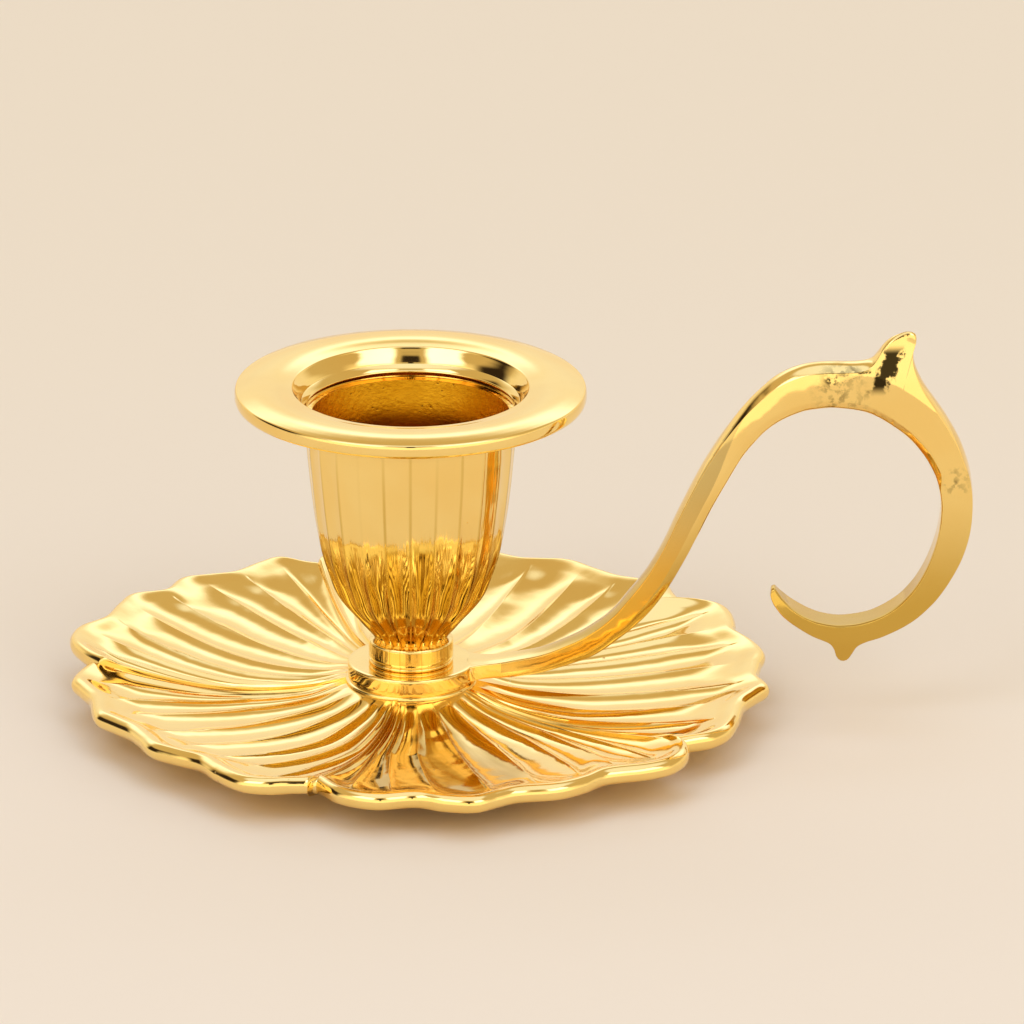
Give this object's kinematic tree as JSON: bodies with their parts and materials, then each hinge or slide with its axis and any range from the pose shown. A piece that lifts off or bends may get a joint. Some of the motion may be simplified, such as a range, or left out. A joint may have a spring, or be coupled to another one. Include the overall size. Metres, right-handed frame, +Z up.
{
  "type": "chamberstick",
  "caption": "Low chamberstick: petal saucer, fluted cup with a drip ring, and an S-shaped arm that ends in a finger loop with a thumb spur.",
  "frame": {"origin": "on the candle cup's axis at the table, the middle of the felt's underside", "axes": "+Z up along the cup's axis, +X from the cup towards the finger loop"},
  "size_m": [0.1135, 0.0902, 0.0514],
  "materials": {
    "dish_brass": "polished",
    "handle_brass": "polished",
    "cup_brass": "polished",
    "ring_brass": "polished",
    "fastener_steel": "zinc plated",
    "felt": "felt"
  },
  "bodies": {
    "base": {"dish": "dish_brass", "handle": "handle_brass", "candle_cup": "cup_brass", "clamp_screw": "fastener_steel", "spring_washer": "fastener_steel", "plain_washer": "fastener_steel", "felt_pad": "felt"},
    "drip_ring": {"drip_ring": "ring_brass"}
  },
  "joints": [
    {"name": "drip_ring_lift", "type": "slide", "parent": "base", "child": "drip_ring", "axis": [0, 0, 1], "range_m": [0, 0.03]}
  ]
}
